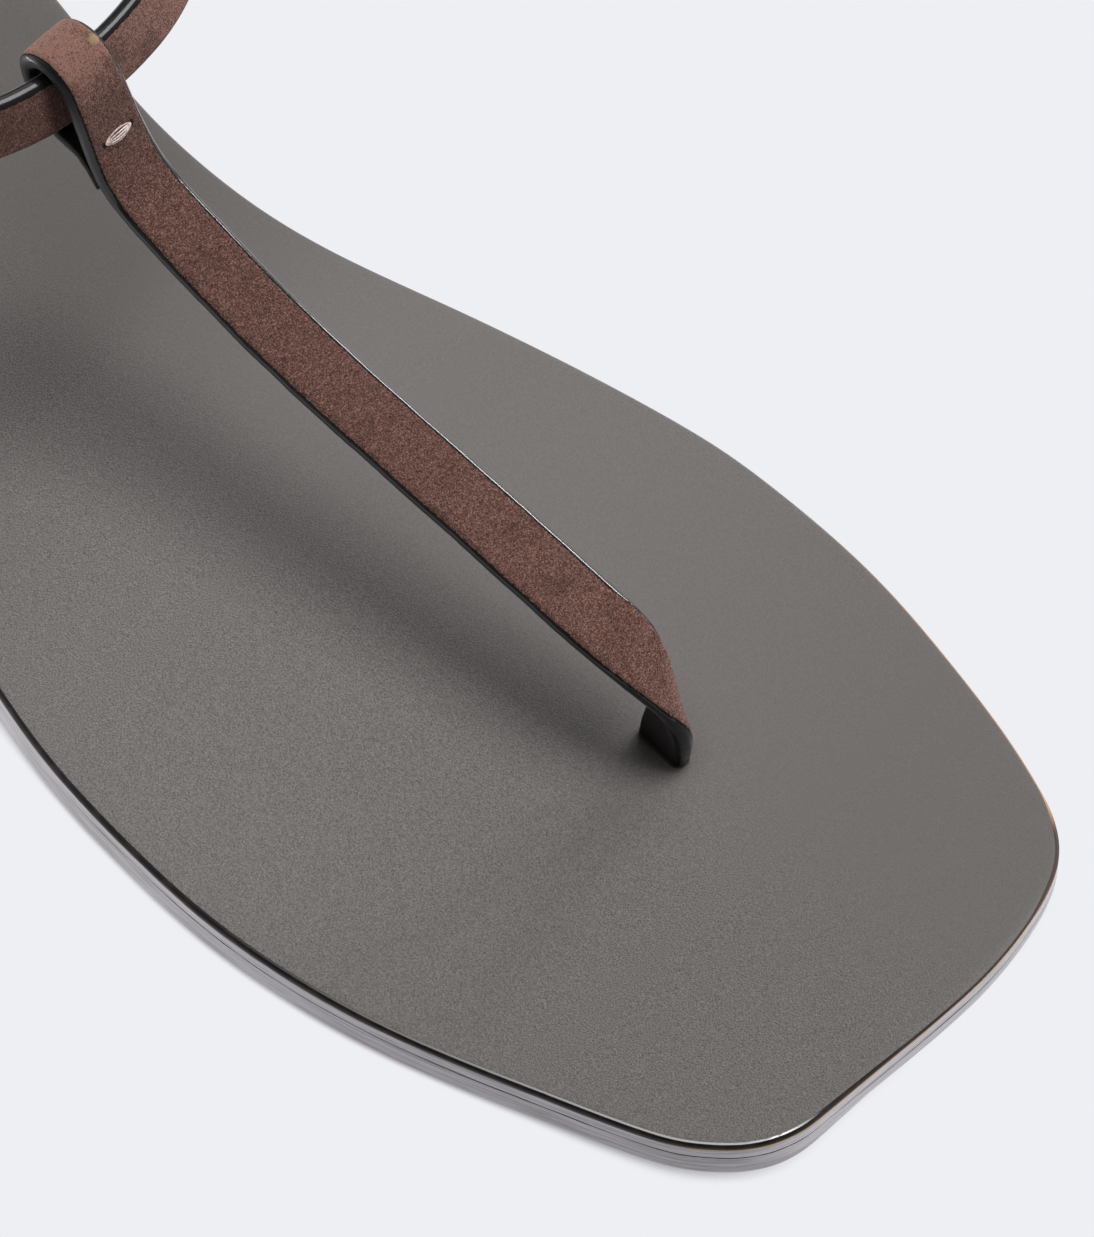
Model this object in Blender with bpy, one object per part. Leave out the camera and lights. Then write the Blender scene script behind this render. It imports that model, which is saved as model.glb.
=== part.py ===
"""Toe post sandal for the right foot.

Three cut leather layers make the sole. A narrow toe strap stands in a slot of the footbed, turns a
quarter turn, runs back over the foot and folds round the ankle strap. Metres, +Z up, toe towards -Y,
big toe side towards +X. The origin is under the middle of the sole, on the floor.
"""
import bmesh
import bpy
import numpy as np

for old in list(bpy.data.objects):
    bpy.data.objects.remove(old)

MM = 0.001
GAP = 0.3                    # between pieces that lie on each other, in mm like all sizes below
SAME = 0.001                 # points closer than this lie on one line
CURVE_SAMPLES = 60           # fine steps between two rows of a table, before the even steps are taken

# Sole
OUTSOLE_THICK = 3.2
MIDSOLE_THICK = 1.8
FOOTBED_THICK = 1.0
OUTSOLE_EDGE_ROUND = 1.0     # the lower edge turns under
FOOTBED_EDGE_ROUND = 0.4     # the upper edge is rolled
TOE_SPRING = 2.2             # lift of the sole at the tip of the toe
SPRING_START = -12.0         # where it starts, behind the toe slot
ARCH_LIFT = 2.0              # lift of the sole under the waist
ARCH_SPAN = (50.0, 145.0)    # where it starts and ends, behind the toe slot
STATION_STEP = 5.0           # the layers bend at lines this far apart
OUTLINE_POINTS = 168

# Straps
STRAP_THICK = 2.4
STRAP_EDGE_ROUND = 0.9
EDGE_ROUND_SHARE = 0.4       # the most that the round takes of a pared strap's thickness
STRAP_WIDTH = 9.2            # toe strap, over the foot
POST_WIDTH = 7.4             # toe strap, trimmed where it enters the slot
FOLD_WIDTH = 8.2             # toe strap, drawn in where it folds round the ankle strap
ANKLE_STRAP_WIDTH = 8.2
SLOT_CLEARANCE = 0.35
SLOT_CUTTER_HEIGHT = 3.0
TOE_STRAP_SECTIONS = 120
ANKLE_STRAP_SECTIONS = 96

# Edge of the sole, all round. Both columns are in mm from the middle of the toe slot.
# across is towards the big toe side, behind is towards the heel.
SOLE_EDGE = [
    # across, behind
    (6.4, 199.8),            # back of the heel
    (22.0, 194.2),
    (32.8, 180.5),
    (36.6, 163.0),           # inner side of the heel
    (35.0, 145.0),
    (31.5, 129.0),
    (26.7, 111.8),
    (24.8, 92.7),            # inner waist
    (26.7, 77.4),
    (30.9, 61.1),
    (34.4, 44.2),
    (36.9, 26.6),
    (37.2, 16.0),            # ball, inner side
    (36.0, -0.4),
    (32.8, -15.8),
    (28.9, -28.8),
    (25.9, -36.3),
    (23.5, -41.0),           # inner toe corner
    (20.0, -45.1),
    (15.3, -47.6),
    (9.2, -49.1),
    (-0.6, -49.9),           # toe line
    (-16.2, -48.8),
    (-25.5, -48.0),
    (-29.1, -47.5),
    (-32.4, -46.2),          # outer toe corner
    (-35.6, -43.8),
    (-38.5, -40.2),
    (-40.9, -35.7),
    (-45.0, -23.0),
    (-48.9, -10.4),
    (-52.2, 2.9),
    (-54.2, 21.0),           # ball, outer side
    (-53.4, 37.4),
    (-51.1, 53.0),
    (-47.7, 66.0),
    (-43.0, 81.0),
    (-37.8, 98.0),           # outer waist
    (-32.4, 118.0),
    (-27.8, 138.0),
    (-24.6, 158.0),
    (-21.4, 178.0),          # outer side of the heel
    (-10.6, 193.8),
]

# Middle of the toe strap from its tail in the slot to where it lies flat over the foot.
# turn: its edges turned from across the foot (0) to along it (90). dip: the inner edge lower than the outer.
TOE_POST = [
    # across, behind, height over the footbed, turn, dip
    (0.4, 0.3, -FOOTBED_THICK, 84, 0),
    (0.4, 0.0, 2.0, 83, -8),
    (0.5, -0.5, 5.2, 78, -24),
    (0.7, -0.4, 8.6, 66, -30),
    (0.8, 1.0, 11.6, 46, -25),
    (0.6, 3.9, 14.1, 26, -16),
    (0.2, 8.0, 16.0, 9, -6),
    (0.0, 12.0, 17.1, 0, 0),
]

# The rest of the toe strap, seen from the side: over the foot, up, round the ankle strap and back under.
TOE_STRAP_RUN = [
    # behind, height over the footbed, width, thickness
    (20.2, 18.7, STRAP_WIDTH, STRAP_THICK),
    (30.2, 20.7, STRAP_WIDTH, STRAP_THICK),
    (40.2, 22.6, STRAP_WIDTH, STRAP_THICK),
    (50.3, 24.5, STRAP_WIDTH, STRAP_THICK),
    (60.3, 26.9, STRAP_WIDTH, STRAP_THICK),
    (70.4, 30.3, STRAP_WIDTH, STRAP_THICK),
    (78.5, 33.7, STRAP_WIDTH, STRAP_THICK),
    (83.0, 35.9, STRAP_WIDTH, STRAP_THICK),
    (85.9, 38.2, STRAP_WIDTH, STRAP_THICK),
    (87.9, 41.4, 9.0, STRAP_THICK),
    (89.7, 45.4, 8.7, STRAP_THICK),
    (91.1, 49.0, 8.4, STRAP_THICK),
    (92.6, 51.9, FOLD_WIDTH, STRAP_THICK),
    (94.7, 53.6, FOLD_WIDTH, STRAP_THICK),
    (97.2, 53.5, FOLD_WIDTH, STRAP_THICK),
    (99.0, 51.7, FOLD_WIDTH, STRAP_THICK),
    (98.9, 49.3, FOLD_WIDTH, STRAP_THICK),
    (97.5, 45.4, FOLD_WIDTH, STRAP_THICK),
    (96.0, 42.9, FOLD_WIDTH, 2.2),
    (93.6, 41.6, FOLD_WIDTH, 1.8),
    (91.3, 41.0, FOLD_WIDTH, 1.5),
    (89.7, 39.7, FOLD_WIDTH, 1.2),   # pared thin towards its end, under the strap
    (88.6, 38.2, FOLD_WIDTH, 1.0),
    (87.8, 37.1, FOLD_WIDTH, 0.8),
]

# Middle of the ankle strap, all round. lean: its upper edge leans back from upright.
ANKLE_STRAP = [
    # across, behind, height over the footbed, lean in degrees
    (2.5, 94.7, 47.6, 21),   # front, in the fold of the toe strap
    (17.5, 96.6, 47.9, 26),
    (29.5, 105.0, 48.2, 16),
    (35.4, 125.0, 48.6, 4),  # inner side
    (33.6, 152.0, 50.2, 2),
    (23.6, 177.0, 52.0, 2),
    (5.8, 188.5, 53.0, 2),   # behind the heel
    (-11.4, 177.5, 52.0, 2),
    (-22.6, 153.0, 50.5, 2),
    (-26.8, 126.0, 50.0, 4),  # outer side
    (-23.0, 106.0, 49.4, 11),
    (-12.0, 97.0, 48.6, 16),
]

FOOTBED_GREY = (0.155, 0.147, 0.143, 1.0)
SOLE_GREY = (0.42, 0.41, 0.41, 1.0)
SUEDE_BROWN = (0.125, 0.066, 0.052, 1.0)


def smooth_curve(rows, count, closed=False, axes=3):
    """Even steps along a smooth cubic curve through the rows. The first columns, the axes, give the place."""
    knots = np.array(rows, float)
    if closed:
        knots = np.vstack([knots, knots[:1]])
    step = np.sqrt(np.linalg.norm(np.diff(knots[:, :axes], axis=0), axis=1))
    chord = np.diff(knots, axis=0)
    last = len(step)
    system = np.zeros((last + 1, last + 1))
    right = np.zeros_like(knots)
    for i in range(1, last):
        system[i, i - 1:i + 2] = 1 / step[i - 1], 2 / step[i - 1] + 2 / step[i], 1 / step[i]
        right[i] = 3 * chord[i - 1] / step[i - 1] ** 2 + 3 * chord[i] / step[i] ** 2
    if closed:
        system[0, [last - 1, 0, 1]] = 1 / step[-1], 2 / step[-1] + 2 / step[0], 1 / step[0]
        right[0] = 3 * chord[-1] / step[-1] ** 2 + 3 * chord[0] / step[0] ** 2
        system[last, [0, last]] = 1, -1
    else:
        system[0, :2] = 2 / step[0], 1 / step[0]
        right[0] = 3 * chord[0] / step[0] ** 2
        system[last, -2:] = 1 / step[-1], 2 / step[-1]
        right[last] = 3 * chord[-1] / step[-1] ** 2
    slope = np.linalg.solve(system, right)
    t = np.linspace(0, 1, CURVE_SAMPLES, endpoint=False)[:, None]
    fine = []
    for i in range(last):
        rise_in = step[i] * slope[i]
        rise_out = step[i] * slope[i + 1]
        bend = t * (1 - t) * ((1 - t) * (rise_in - chord[i]) - t * (rise_out - chord[i]))
        fine.append(knots[i] + t * chord[i] + bend)
    fine = np.vstack(fine + [knots[-1:]])
    along = np.r_[0, np.cumsum(np.linalg.norm(np.diff(fine[:, :axes], axis=0), axis=1))]
    wanted = np.linspace(0, along[-1], count, endpoint=not closed)
    return np.stack([np.interp(wanted, along, column) for column in fine.T], axis=1)


def outward(ring):
    """Unit normals of a closed flat ring, whichever way round it runs."""
    tangent = np.roll(ring, -1, axis=0) - np.roll(ring, 1, axis=0)
    normal = np.stack([tangent[:, 1], -tangent[:, 0]], axis=1)
    normal /= np.linalg.norm(normal, axis=1)[:, None]
    x, y = ring.T
    area = np.sum(x * np.roll(y, -1) - y * np.roll(x, -1))
    return normal * np.sign(area)


EDGE = smooth_curve(SOLE_EDGE, OUTLINE_POINTS, closed=True, axes=2)
MIDDLE = (EDGE.min(axis=0) + EDGE.max(axis=0)) / 2
TOE_TIP = EDGE[:, 1].min()
MIDSOLE_BASE = OUTSOLE_THICK + GAP
FOOTBED_BASE = MIDSOLE_BASE + MIDSOLE_THICK + GAP
FOOTBED_TOP = FOOTBED_BASE + FOOTBED_THICK
SPRING_STATIONS = np.arange(SPRING_START, TOE_TIP, -STATION_STEP)
ARCH_STATIONS = np.arange(*ARCH_SPAN, STATION_STEP)


def lift(behind):
    """How far the bent sole stands off the floor."""
    spring = np.clip((SPRING_START - behind) / (SPRING_START - TOE_TIP), 0, None)
    arch = np.clip((behind - ARCH_SPAN[0]) / (ARCH_SPAN[1] - ARCH_SPAN[0]), 0, 1)
    return TOE_SPRING * spring ** 2 + ARCH_LIFT * np.sin(np.pi * arch) ** 2


def place(points):
    """Rows of across, behind and height over the floor, in mm, to metres about the origin."""
    points = np.asarray(points, float) - (*MIDDLE, 0)
    return points * MM


def principled(name, colour, roughness):
    material = bpy.data.materials.new(name)
    material.use_nodes = True
    shader = material.node_tree.nodes["Principled BSDF"]
    shader.inputs["Base Color"].default_value = colour
    shader.inputs["Roughness"].default_value = roughness
    material.diffuse_color = colour
    return material


def add_piece(bm, name, material, collection):
    bmesh.ops.recalc_face_normals(bm, faces=bm.faces)
    mesh = bpy.data.meshes.new(name)
    bm.to_mesh(mesh)
    bm.free()
    piece = bpy.data.objects.new(name, mesh)
    collection.objects.link(piece)
    if material:
        mesh.materials.append(material)
    return piece


def cut_layer(base, thick, top_round, bottom_round):
    """One sole layer: the outline cut from a sheet, its edges rounded, then bent to the sole's profile."""
    bm = bmesh.new()
    corners = place(np.column_stack([EDGE, np.full(len(EDGE), base)]))
    sheet = bm.faces.new([bm.verts.new(corner) for corner in corners])
    raised = bmesh.ops.extrude_face_region(bm, geom=[sheet], use_keep_orig=True)["geom"]
    top = [item for item in raised if isinstance(item, bmesh.types.BMVert)]
    bmesh.ops.translate(bm, verts=top, vec=(0, 0, thick * MM))
    for height, radius in ((base + thick, top_round), (base, bottom_round)):
        if radius:
            rim = [e for e in bm.edges if all(abs(v.co.z / MM - height) < SAME for v in e.verts)]
            bmesh.ops.bevel(bm, geom=rim, offset=radius * MM, segments=2, profile=0.5,
                            affect="EDGES", material=-1)
    for behind in (*SPRING_STATIONS, *ARCH_STATIONS):
        bmesh.ops.bisect_plane(bm, geom=bm.verts[:] + bm.edges[:] + bm.faces[:], dist=SAME * MM,
                               plane_co=place([(0, behind, 0)])[0], plane_no=(0, 1, 0))
    for vert in bm.verts:
        vert.co.z += lift(vert.co.y / MM + MIDDLE[1]) * MM
    return bm


def strap_section(half_width, half_thick, radius):
    """A strap cut across: flat faces, round edges. Rows of sideways and outward distances."""
    corners = []
    for side, face, start in ((1, 1, 0), (-1, 1, 90), (-1, -1, 180), (1, -1, 270)):
        for angle in np.radians([start, start + 45, start + 90]):
            sideways = side * (half_width - radius) + radius * np.cos(angle)
            corners.append((sideways, face * (half_thick - radius) + radius * np.sin(angle)))
    return np.array(corners)


def loft_strap(middle, sideways, width, thick, closed):
    """A flat strap along its middle line, from the direction of its width at each section."""
    tangent = np.roll(middle, -1, axis=0) - np.roll(middle, 1, axis=0)
    if not closed:
        tangent[0] = middle[1] - middle[0]
        tangent[-1] = middle[-1] - middle[-2]
    out = np.cross(sideways, tangent)
    out /= np.linalg.norm(out, axis=1)[:, None]
    bm = bmesh.new()
    rings = []
    for i in range(len(middle)):
        radius = min(STRAP_EDGE_ROUND, thick[i] * EDGE_ROUND_SHARE)
        section = strap_section(width[i] / 2, thick[i] / 2, radius)
        points = place(middle[i] + section[:, :1] * sideways[i] + section[:, 1:] * out[i])
        rings.append([bm.verts.new(point) for point in points])
    for i in range(len(rings) if closed else len(rings) - 1):
        ring, following = rings[i], rings[(i + 1) % len(rings)]
        for j in range(len(ring)):
            k = (j + 1) % len(ring)
            bm.faces.new((ring[j], ring[k], following[k], following[j]))
    if not closed:
        bm.faces.new(rings[0])
        bm.faces.new(rings[-1])
    return bm


def toe_strap():
    rows = []
    for across, behind, height, turn, dip in TOE_POST:
        trim = turn / TOE_POST[0][3]
        width = STRAP_WIDTH + (POST_WIDTH - STRAP_WIDTH) * trim
        rows.append((across, behind, FOOTBED_TOP + height, turn, dip, width, STRAP_THICK))
    for behind, height, width, thick in TOE_STRAP_RUN:
        rows.append((0, behind, FOOTBED_TOP + height, 0, 0, width, thick))
    line = smooth_curve(rows, TOE_STRAP_SECTIONS)
    turn, dip = np.radians(line[:, 3:5]).T
    sideways = np.stack([np.cos(turn) * np.cos(dip), np.sin(turn) * np.cos(dip), -np.sin(dip)], axis=1)
    return loft_strap(line[:, :3], sideways, line[:, 5], line[:, 6], closed=False)


def ankle_strap():
    line = smooth_curve(ANKLE_STRAP, ANKLE_STRAP_SECTIONS, closed=True)
    lean = np.radians(line[:, 3])
    inward = -outward(line[:, :2])
    sideways = np.column_stack([inward * np.sin(lean)[:, None], np.cos(lean)])
    middle = line[:, :3] + (0, 0, FOOTBED_TOP)
    count = len(line)
    return loft_strap(middle, sideways, np.full(count, ANKLE_STRAP_WIDTH), np.full(count, STRAP_THICK), True)


def toe_slot():
    """Cutter for the slot that the toe strap stands in."""
    across, behind, _, turn, _ = TOE_POST[0]
    bm = bmesh.new()
    bmesh.ops.create_cube(bm, size=1)
    length = POST_WIDTH + 2 * SLOT_CLEARANCE
    breadth = STRAP_THICK + 2 * SLOT_CLEARANCE
    bmesh.ops.scale(bm, vec=(length * MM, breadth * MM, SLOT_CUTTER_HEIGHT * MM), verts=bm.verts)
    cutter = add_piece(bm, "toe_slot", None, cutters)
    cutter.location = place([(across, behind, FOOTBED_TOP)])[0]
    cutter.rotation_euler.z = np.radians(turn)
    cutter.hide_render = True
    cutter.display_type = "WIRE"
    return cutter


parts = bpy.data.collections.new("toe_post_sandal")
cutters = bpy.data.collections.new("cutters")
bpy.context.scene.collection.children.link(parts)
bpy.context.scene.collection.children.link(cutters)

sole_leather = principled("sole_leather", SOLE_GREY, 0.35)
footbed_leather = principled("footbed_leather", FOOTBED_GREY, 0.5)
suede = principled("suede", SUEDE_BROWN, 0.9)

add_piece(cut_layer(0, OUTSOLE_THICK, 0, OUTSOLE_EDGE_ROUND), "outsole", sole_leather, parts)
add_piece(cut_layer(MIDSOLE_BASE, MIDSOLE_THICK, 0, 0), "midsole", sole_leather, parts)
footbed_layer = cut_layer(FOOTBED_BASE, FOOTBED_THICK, FOOTBED_EDGE_ROUND, 0)
footbed = add_piece(footbed_layer, "footbed", footbed_leather, parts)
slot = footbed.modifiers.new("toe slot", "BOOLEAN")
slot.operation = "DIFFERENCE"
slot.solver = "EXACT"
slot.object = toe_slot()
add_piece(toe_strap(), "toe_strap", suede, parts)
add_piece(ankle_strap(), "ankle_strap", suede, parts)
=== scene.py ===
"""Visual model of a flat toe post sandal for the right foot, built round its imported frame.

Metres, +Z up, toe towards -Y, big toe side towards +X. The tables are in mm from the middle of the toe
slot: across is towards the big toe side, behind is towards the heel.
"""

import bmesh
import bpy
import numpy as np
from mathutils import Matrix
from mathutils import Vector
from mathutils import noise


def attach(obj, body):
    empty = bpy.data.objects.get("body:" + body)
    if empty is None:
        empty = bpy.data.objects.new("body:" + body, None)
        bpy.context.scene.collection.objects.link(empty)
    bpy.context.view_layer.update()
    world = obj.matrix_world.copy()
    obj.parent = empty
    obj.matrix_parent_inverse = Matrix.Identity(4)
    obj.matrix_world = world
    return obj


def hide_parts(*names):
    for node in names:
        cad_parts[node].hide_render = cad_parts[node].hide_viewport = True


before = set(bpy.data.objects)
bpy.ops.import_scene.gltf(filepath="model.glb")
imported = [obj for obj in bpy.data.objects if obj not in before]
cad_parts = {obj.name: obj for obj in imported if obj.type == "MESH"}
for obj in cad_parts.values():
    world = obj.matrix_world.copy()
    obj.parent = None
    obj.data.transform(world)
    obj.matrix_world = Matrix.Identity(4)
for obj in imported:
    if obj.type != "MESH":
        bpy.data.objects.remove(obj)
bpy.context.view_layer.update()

# Outsole
# The lower of the two layers of sole leather, cut to the outline of the foot. Its edge is sanded, dyed grey
# and burnished on a wheel, which leaves fine streaks along it, and its lower corner is turned under.
MM = 0.001
SAME = 0.001                 # points closer than this lie on one line
CURVE_SAMPLES = 60           # fine steps between two rows of a table, before the even steps are taken
OUTLINE_POINTS = 640
STATION_STEP = 2.5           # the layers bend at lines this far apart
WALL_ROW = 0.45              # rows of points up the wall
OUTSOLE_BASE = 0.0
OUTSOLE_TOP = 3.85
OUTSOLE_EDGE_ROUND = 0.7     # the lower edge turns under
SEAM_ROUND = 0.07            # the edges on both sides of a glue seam
ROUND_STEPS = 4
TOE_SPRING = 2.2             # lift of the sole at the tip of the toe
SPRING_START = -12.0         # where it starts, behind the toe slot
ARCH_LIFT = 2.0              # lift of the sole under the waist
ARCH_SPAN = (50.0, 145.0)    # where it starts and ends, behind the toe slot
WALL_WANDER = 0.07           # how far the sanded wall wanders in and out
WANDER_WAVES = [
    # waves per metre along the wall and up it, share, which way the seed moves them
    (60, 500, 1.0, 1),
    (260, 900, 0.35, -1),
]
WALL_TILT = 0.9              # a point whose normal rises more than this isn't on the wall
OUTSOLE_SEED = 3.0
SHARP_ANGLE = np.radians(50)
TOE_UNDERCUT = 0.75          # along the toe line the lower edge is turned under this much further
UNDERCUT_TOP = 2.6           # it reaches up to this height
UNDERCUT_BEHIND = (-26.0, -42.0)   # where it starts and is full, behind the toe slot
UNDERCUT_ACROSS = (-32.0, -18.0)   # and across from it
UNDERCUT_CURVE = 1.5
SOLE_EDGE = [
    # across, behind
    (6.4, 199.8),  # back of the heel
    (22.0, 194.2),
    (32.8, 180.5),
    (36.6, 163.0),  # inner side of the heel
    (35.0, 145.0),
    (31.5, 129.0),
    (26.7, 111.8),
    (24.8, 92.7),  # inner waist
    (26.7, 77.4),
    (30.9, 61.1),
    (34.4, 44.2),
    (36.9, 26.6),
    (37.2, 16.0),  # ball, inner side
    (36.0, -0.4),
    (32.8, -15.8),
    (28.9, -28.8),
    (25.9, -36.3),
    (23.5, -41.0),  # inner toe corner
    (20.0, -45.1),
    (15.3, -47.6),
    (9.2, -49.1),
    (-0.6, -49.9),  # toe line
    (-16.2, -48.8),
    (-25.5, -48.0),
    (-29.1, -47.5),
    (-32.4, -46.2),  # outer toe corner
    (-35.6, -43.8),
    (-38.5, -40.2),
    (-40.9, -35.7),
    (-45.0, -23.0),
    (-48.9, -10.4),
    (-52.2, 2.9),
    (-54.2, 21.0),  # ball, outer side
    (-53.4, 37.4),
    (-51.1, 53.0),
    (-47.7, 66.0),
    (-43.0, 81.0),
    (-37.8, 98.0),  # outer waist
    (-32.4, 118.0),
    (-27.8, 138.0),
    (-24.6, 158.0),
    (-21.4, 178.0),  # outer side of the heel
    (-10.6, 193.8),
]


def smooth_curve(rows, count, closed=False, axes=3):
    """Even steps along a smooth cubic curve through rows, whose first columns, the axes, are its place."""
    knots = np.array(rows, float)
    if closed:
        knots = np.vstack([knots, knots[:1]])
    step = np.sqrt(np.linalg.norm(np.diff(knots[:, :axes], axis=0), axis=1))
    chord = np.diff(knots, axis=0)
    last = len(step)
    system = np.zeros((last + 1, last + 1))
    right = np.zeros_like(knots)
    for i in range(1, last):
        system[i, i - 1:i + 2] = 1 / step[i - 1], 2 / step[i - 1] + 2 / step[i], 1 / step[i]
        right[i] = 3 * chord[i - 1] / step[i - 1] ** 2 + 3 * chord[i] / step[i] ** 2
    if closed:
        system[0, [last - 1, 0, 1]] = 1 / step[-1], 2 / step[-1] + 2 / step[0], 1 / step[0]
        right[0] = 3 * chord[-1] / step[-1] ** 2 + 3 * chord[0] / step[0] ** 2
        system[last, [0, last]] = 1, -1
    else:
        system[0, :2] = 2 / step[0], 1 / step[0]
        right[0] = 3 * chord[0] / step[0] ** 2
        system[last, -2:] = 1 / step[-1], 2 / step[-1]
        right[last] = 3 * chord[-1] / step[-1] ** 2
    slope = np.linalg.solve(system, right)
    t = np.linspace(0, 1, CURVE_SAMPLES, endpoint=False)[:, None]
    fine = []
    for i in range(last):
        rise_in = step[i] * slope[i]
        rise_out = step[i] * slope[i + 1]
        bend = t * (1 - t) * ((1 - t) * (rise_in - chord[i]) - t * (rise_out - chord[i]))
        fine.append(knots[i] + t * chord[i] + bend)
    fine = np.vstack(fine + [knots[-1:]])
    along = np.r_[0, np.cumsum(np.linalg.norm(np.diff(fine[:, :axes], axis=0), axis=1))]
    wanted = np.linspace(0, along[-1], count, endpoint=not closed)
    return np.stack([np.interp(wanted, along, column) for column in fine.T], axis=1)


EDGE = smooth_curve(SOLE_EDGE, OUTLINE_POINTS, closed=True, axes=2)
MIDDLE = (EDGE.min(axis=0) + EDGE.max(axis=0)) / 2
TOE_TIP = EDGE[:, 1].min()
HEEL_TIP = EDGE[:, 1].max()


def lift(behind):
    """How far the bent sole stands off the floor."""
    spring = np.clip((SPRING_START - behind) / (SPRING_START - TOE_TIP), 0, None)
    arch = np.clip((behind - ARCH_SPAN[0]) / (ARCH_SPAN[1] - ARCH_SPAN[0]), 0, 1)
    return TOE_SPRING * spring ** 2 + ARCH_LIFT * np.sin(np.pi * arch) ** 2


def place(points):
    """Rows of across, behind and height over the floor, in mm, to metres about the origin."""
    points = np.asarray(points, float) - (*MIDDLE, 0)
    return points * MM


def made(geometry, kind):
    """The items of one kind, such as the vertices, among what an operator returns."""
    return [item for item in geometry if isinstance(item, kind)]


def cut(bm, point, direction):
    """A line of edges through the whole piece where a plane meets it. The point is in mm."""
    bmesh.ops.bisect_plane(bm, geom=bm.verts[:] + bm.edges[:] + bm.faces[:], dist=SAME * MM,
                           plane_co=place([point])[0], plane_no=direction)


def cut_layer(base, top, top_round, bottom_round):
    """One flat sole layer: the outline cut from a sheet, with its edges rounded."""
    bm = bmesh.new()
    corners = place(np.column_stack([EDGE, np.full(len(EDGE), base)]))
    sheet = bm.faces.new([bm.verts.new(corner) for corner in corners])
    raised = bmesh.ops.extrude_face_region(bm, geom=[sheet], use_keep_orig=True)["geom"]
    bmesh.ops.translate(bm, verts=made(raised, bmesh.types.BMVert), vec=(0, 0, (top - base) * MM))
    for height, radius in ((top, top_round), (base, bottom_round)):
        rim = [e for e in bm.edges if all(abs(v.co.z / MM - height) < SAME for v in e.verts)]
        bmesh.ops.bevel(bm, geom=rim, offset=radius * MM, segments=ROUND_STEPS, profile=0.5,
                        affect="EDGES", material=-1)
    return bm


def bend_layer(bm):
    """Gives the flat layer its toe spring and arch, and keeps each point's height before that."""
    height = bm.verts.layers.float.new("height")
    for behind in np.arange(TOE_TIP + STATION_STEP / 2, HEEL_TIP, STATION_STEP):
        cut(bm, (0, behind, 0), (0, 1, 0))
    for vert in bm.verts:
        vert[height] = vert.co.z / MM
        vert.co.z += lift(vert.co.y / MM + MIDDLE[1]) * MM


def sand_wall(bm, base, top, seed):
    """Rows of points up the wall of a layer, moved in and out as hand sanding leaves it."""
    for row in np.arange(base + WALL_ROW, top, WALL_ROW):
        cut(bm, (0, 0, row), (0, 0, 1))
    bm.normal_update()
    for vert in bm.verts:
        if abs(vert.normal.z) < WALL_TILT:
            x, y, z = vert.co
            wander = 0
            for along, up, share, shift in WANDER_WAVES:
                wander += share * noise.noise((x * along, y * along, z * up + shift * seed))
            vert.co += Vector((vert.normal.x, vert.normal.y, 0)) * wander * WALL_WANDER * MM


def undercut_toe(bm):
    """Turns the lower edge further under along the toe line."""
    for vert in bm.verts:
        across, behind = np.array(vert.co[:2]) / MM + MIDDLE
        near_toe = np.interp(-behind, np.negative(UNDERCUT_BEHIND), (0, 1))
        near_toe *= np.interp(across, UNDERCUT_ACROSS, (0, 1))
        low = np.clip(1 - vert.co.z / MM / UNDERCUT_TOP, 0, 1)
        vert.co.y += TOE_UNDERCUT * near_toe * low ** UNDERCUT_CURVE * MM


def finish_piece(bm, name, material):
    """The mesh as an object at the origin, smooth but for its sharp corners."""
    bmesh.ops.recalc_face_normals(bm, faces=bm.faces)
    mesh = bpy.data.meshes.new(name)
    bm.to_mesh(mesh)
    bm.free()
    mesh.shade_smooth()
    mesh.set_sharp_from_angle(angle=SHARP_ANGLE)
    mesh.materials.append(material)
    piece = bpy.data.objects.new(name, mesh)
    bpy.context.scene.collection.objects.link(piece)
    return piece


def feed(tree, node, inputs):
    """Links each input of a shader node to a socket, or sets it to a value."""
    for key, value in inputs.items():
        if isinstance(value, bpy.types.NodeSocket):
            tree.links.new(value, node.inputs[key])
        else:
            node.inputs[key].default_value = value


def add(tree, kind, inputs=None, **settings):
    """A shader node with its settings and inputs."""
    node = tree.nodes.new("ShaderNode" + kind)
    for name, value in settings.items():
        setattr(node, name, value)
    feed(tree, node, inputs or {})
    return node


def math(tree, operation, *values, clamp=False):
    node = add(tree, "Math", dict(enumerate(values)), operation=operation, use_clamp=clamp)
    return node.outputs[0]


def between(tree, value, low, high):
    """0 at low, 1 at high, smooth between them and level beyond them."""
    node = add(tree, "MapRange", {"Value": value, "From Min": low, "From Max": high},
               interpolation_type="SMOOTHSTEP")
    return node.outputs[0]


def mix(tree, share, first, second):
    """One colour turning into another."""
    node = add(tree, "Mix", {"Factor": share, "A": first, "B": second}, data_type="RGBA")
    return node.outputs["Result"]


def fleck(tree, vector, scale, detail=2.0, roughness=0.5):
    """Soft noise about 0.5, most of it between 0.35 and 0.65."""
    node = add(tree, "TexNoise", {"Vector": vector, "Scale": scale, "Detail": detail,
                                 "Roughness": roughness})
    return node.outputs["Fac"]


def bumps(tree, height, distance, strength):
    """The normals of a relief."""
    node = add(tree, "Bump", {"Height": height, "Distance": distance, "Strength": strength})
    return node.outputs["Normal"]


def colour(red, green, blue):
    """A colour as a screen shows it, 0 to 255, as the shader's linear numbers."""
    shown = np.array([red, green, blue]) / 255
    linear = np.where(shown <= 0.04045, shown / 12.92, ((shown + 0.055) / 1.055) ** 2.4)
    return (*(float(v) for v in linear), 1.0)


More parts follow.
